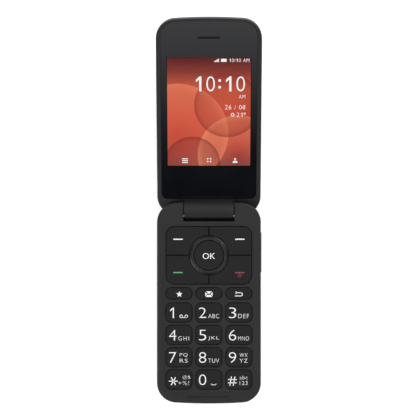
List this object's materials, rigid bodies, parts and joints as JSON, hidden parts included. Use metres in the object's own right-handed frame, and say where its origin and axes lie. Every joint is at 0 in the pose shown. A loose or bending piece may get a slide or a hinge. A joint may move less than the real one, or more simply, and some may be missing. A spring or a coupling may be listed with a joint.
{
  "type": "flip phone",
  "caption": "Folding clamshell mobile phone, opened: a keypad base with a round navigation ring, hinged to a lid with a large inner display and a small outer one.",
  "frame": {"origin": "middle of the flat back of the base half", "axes": "+X to the right of the keypad, +Y along the base towards the hinge, +Z out of the keypad; the lid is swung open about a line parallel to X and its 0 is fully open"},
  "size_m": [0.0543, 0.1987, 0.0373],
  "materials": {
    "shell": "fine matte moulded plastic",
    "cover": "matte moulded plastic with a fine dotted texture",
    "chassis": "plain moulded plastic",
    "key": "matte moulded plastic, printed and clear coated",
    "ring": "dark chrome plated plastic",
    "lens": "clear hard acrylic, black printed behind",
    "display": "display glass over a black border",
    "cell": "wrapped aluminium can",
    "contact": "gold plated spring blades",
    "board": "green solder mask",
    "foil": "foil with steel snap domes",
    "mat": "silicone rubber",
    "steel": "drawn sheet steel",
    "socket": "black glass-filled plastic",
    "copper": "copper sheet",
    "flex": "amber polyimide film",
    "inner": "black plastic and steel, hidden"
  },
  "bodies": {
    "base": {"base_front_housing": "shell", "battery_cover": "cover", "base_rear_housing": "chassis", "battery": "cell", "battery_contacts": "contact", "main_board": "board", "dome_sheet": "foil", "key_mat": "mat", "usb_port": "steel", "headset_jack": "socket", "loudspeaker": "inner", "speaker_mesh": "steel", "microphone": "steel", "vibration_motor": "steel", "card_socket": "steel", "shield_can": "steel", "antenna": "copper", "housing_screws": "steel", "hinge_shaft": "steel", "hinge_hollow_pin": "steel"},
    "lid": {"lid_inner_frame": "shell", "lid_outer_cover": "cover", "display_lens": "lens", "main_display": "display", "earpiece": "inner", "earpiece_mesh": "steel", "lid_board": "board", "outer_display_lens": "lens", "outer_display": "display", "camera_window": "lens", "camera_module": "inner", "hinge_cam_housing": "steel", "hinge_flex": "flex", "lid_magnet": "steel", "lid_screws": "steel"},
    "ok_key": {"ok_key": "key"},
    "soft_key_left": {"soft_key_left": "key"},
    "soft_key_right": {"soft_key_right": "key"},
    "send_key": {"send_key": "key"},
    "end_key": {"end_key": "key"},
    "favourites_key": {"favourites_key": "key"},
    "message_key": {"message_key": "key"},
    "back_key": {"back_key": "key"},
    "key_1": {"key_1": "key"},
    "key_2": {"key_2": "key"},
    "key_3": {"key_3": "key"},
    "key_4": {"key_4": "key"},
    "key_5": {"key_5": "key"},
    "key_6": {"key_6": "key"},
    "key_7": {"key_7": "key"},
    "key_8": {"key_8": "key"},
    "key_9": {"key_9": "key"},
    "key_star": {"key_star": "key"},
    "key_0": {"key_0": "key"},
    "key_hash": {"key_hash": "key"},
    "nav_pad": {"nav_pad": "inner"},
    "nav_ring": {"nav_ring": "ring"},
    "volume_rocker": {"volume_rocker": "key"}
  },
  "joints": [
    {"name": "lid_hinge", "type": "hinge", "parent": "base", "child": "lid", "pos_m": [0, 0.048, 0.0074], "axis": [1, 0, 0], "range_deg": [0, 162]},
    {"name": "ok_key_press", "type": "slide", "parent": "base", "child": "ok_key", "axis": [0, 0, -1], "range_m": [0, 0.0003], "stiffness_N_per_m": 1500},
    {"name": "soft_key_left_press", "type": "slide", "parent": "base", "child": "soft_key_left", "axis": [0, 0, -1], "range_m": [0, 0.0003], "stiffness_N_per_m": 1500},
    {"name": "soft_key_right_press", "type": "slide", "parent": "base", "child": "soft_key_right", "axis": [0, 0, -1], "range_m": [0, 0.0003], "stiffness_N_per_m": 1500},
    {"name": "send_key_press", "type": "slide", "parent": "base", "child": "send_key", "axis": [0, 0, -1], "range_m": [0, 0.0003], "stiffness_N_per_m": 1500},
    {"name": "end_key_press", "type": "slide", "parent": "base", "child": "end_key", "axis": [0, 0, -1], "range_m": [0, 0.0003], "stiffness_N_per_m": 1500},
    {"name": "favourites_key_press", "type": "slide", "parent": "base", "child": "favourites_key", "axis": [0, 0, -1], "range_m": [0, 0.0003], "stiffness_N_per_m": 1500},
    {"name": "message_key_press", "type": "slide", "parent": "base", "child": "message_key", "axis": [0, 0, -1], "range_m": [0, 0.0003], "stiffness_N_per_m": 1500},
    {"name": "back_key_press", "type": "slide", "parent": "base", "child": "back_key", "axis": [0, 0, -1], "range_m": [0, 0.0003], "stiffness_N_per_m": 1500},
    {"name": "key_1_press", "type": "slide", "parent": "base", "child": "key_1", "axis": [0, 0, -1], "range_m": [0, 0.0003], "stiffness_N_per_m": 1500},
    {"name": "key_2_press", "type": "slide", "parent": "base", "child": "key_2", "axis": [0, 0, -1], "range_m": [0, 0.0003], "stiffness_N_per_m": 1500},
    {"name": "key_3_press", "type": "slide", "parent": "base", "child": "key_3", "axis": [0, 0, -1], "range_m": [0, 0.0003], "stiffness_N_per_m": 1500},
    {"name": "key_4_press", "type": "slide", "parent": "base", "child": "key_4", "axis": [0, 0, -1], "range_m": [0, 0.0003], "stiffness_N_per_m": 1500},
    {"name": "key_5_press", "type": "slide", "parent": "base", "child": "key_5", "axis": [0, 0, -1], "range_m": [0, 0.0003], "stiffness_N_per_m": 1500},
    {"name": "key_6_press", "type": "slide", "parent": "base", "child": "key_6", "axis": [0, 0, -1], "range_m": [0, 0.0003], "stiffness_N_per_m": 1500},
    {"name": "key_7_press", "type": "slide", "parent": "base", "child": "key_7", "axis": [0, 0, -1], "range_m": [0, 0.0003], "stiffness_N_per_m": 1500},
    {"name": "key_8_press", "type": "slide", "parent": "base", "child": "key_8", "axis": [0, 0, -1], "range_m": [0, 0.0003], "stiffness_N_per_m": 1500},
    {"name": "key_9_press", "type": "slide", "parent": "base", "child": "key_9", "axis": [0, 0, -1], "range_m": [0, 0.0003], "stiffness_N_per_m": 1500},
    {"name": "key_star_press", "type": "slide", "parent": "base", "child": "key_star", "axis": [0, 0, -1], "range_m": [0, 0.0003], "stiffness_N_per_m": 1500},
    {"name": "key_0_press", "type": "slide", "parent": "base", "child": "key_0", "axis": [0, 0, -1], "range_m": [0, 0.0003], "stiffness_N_per_m": 1500},
    {"name": "key_hash_press", "type": "slide", "parent": "base", "child": "key_hash", "axis": [0, 0, -1], "range_m": [0, 0.0003], "stiffness_N_per_m": 1500},
    {"name": "nav_pad_tilt", "type": "hinge", "parent": "base", "child": "nav_pad", "pos_m": [0, 0.02455, 0.0086], "axis": [1, 0, 0], "range_deg": [-1.2, 1.2], "stiffness_Nm_per_rad": 0.4},
    {"name": "nav_ring_tilt", "type": "hinge", "parent": "nav_pad", "child": "nav_ring", "pos_m": [0, 0.02455, 0.0086], "axis": [0, 1, 0], "range_deg": [-1.2, 1.2], "stiffness_Nm_per_rad": 0.4},
    {"name": "volume_rocker_tilt", "type": "hinge", "parent": "base", "child": "volume_rocker", "pos_m": [0.0254, 0.026, 0.0069], "axis": [0, 0, 1], "range_deg": [-1, 1], "stiffness_Nm_per_rad": 0.2}
  ]
}
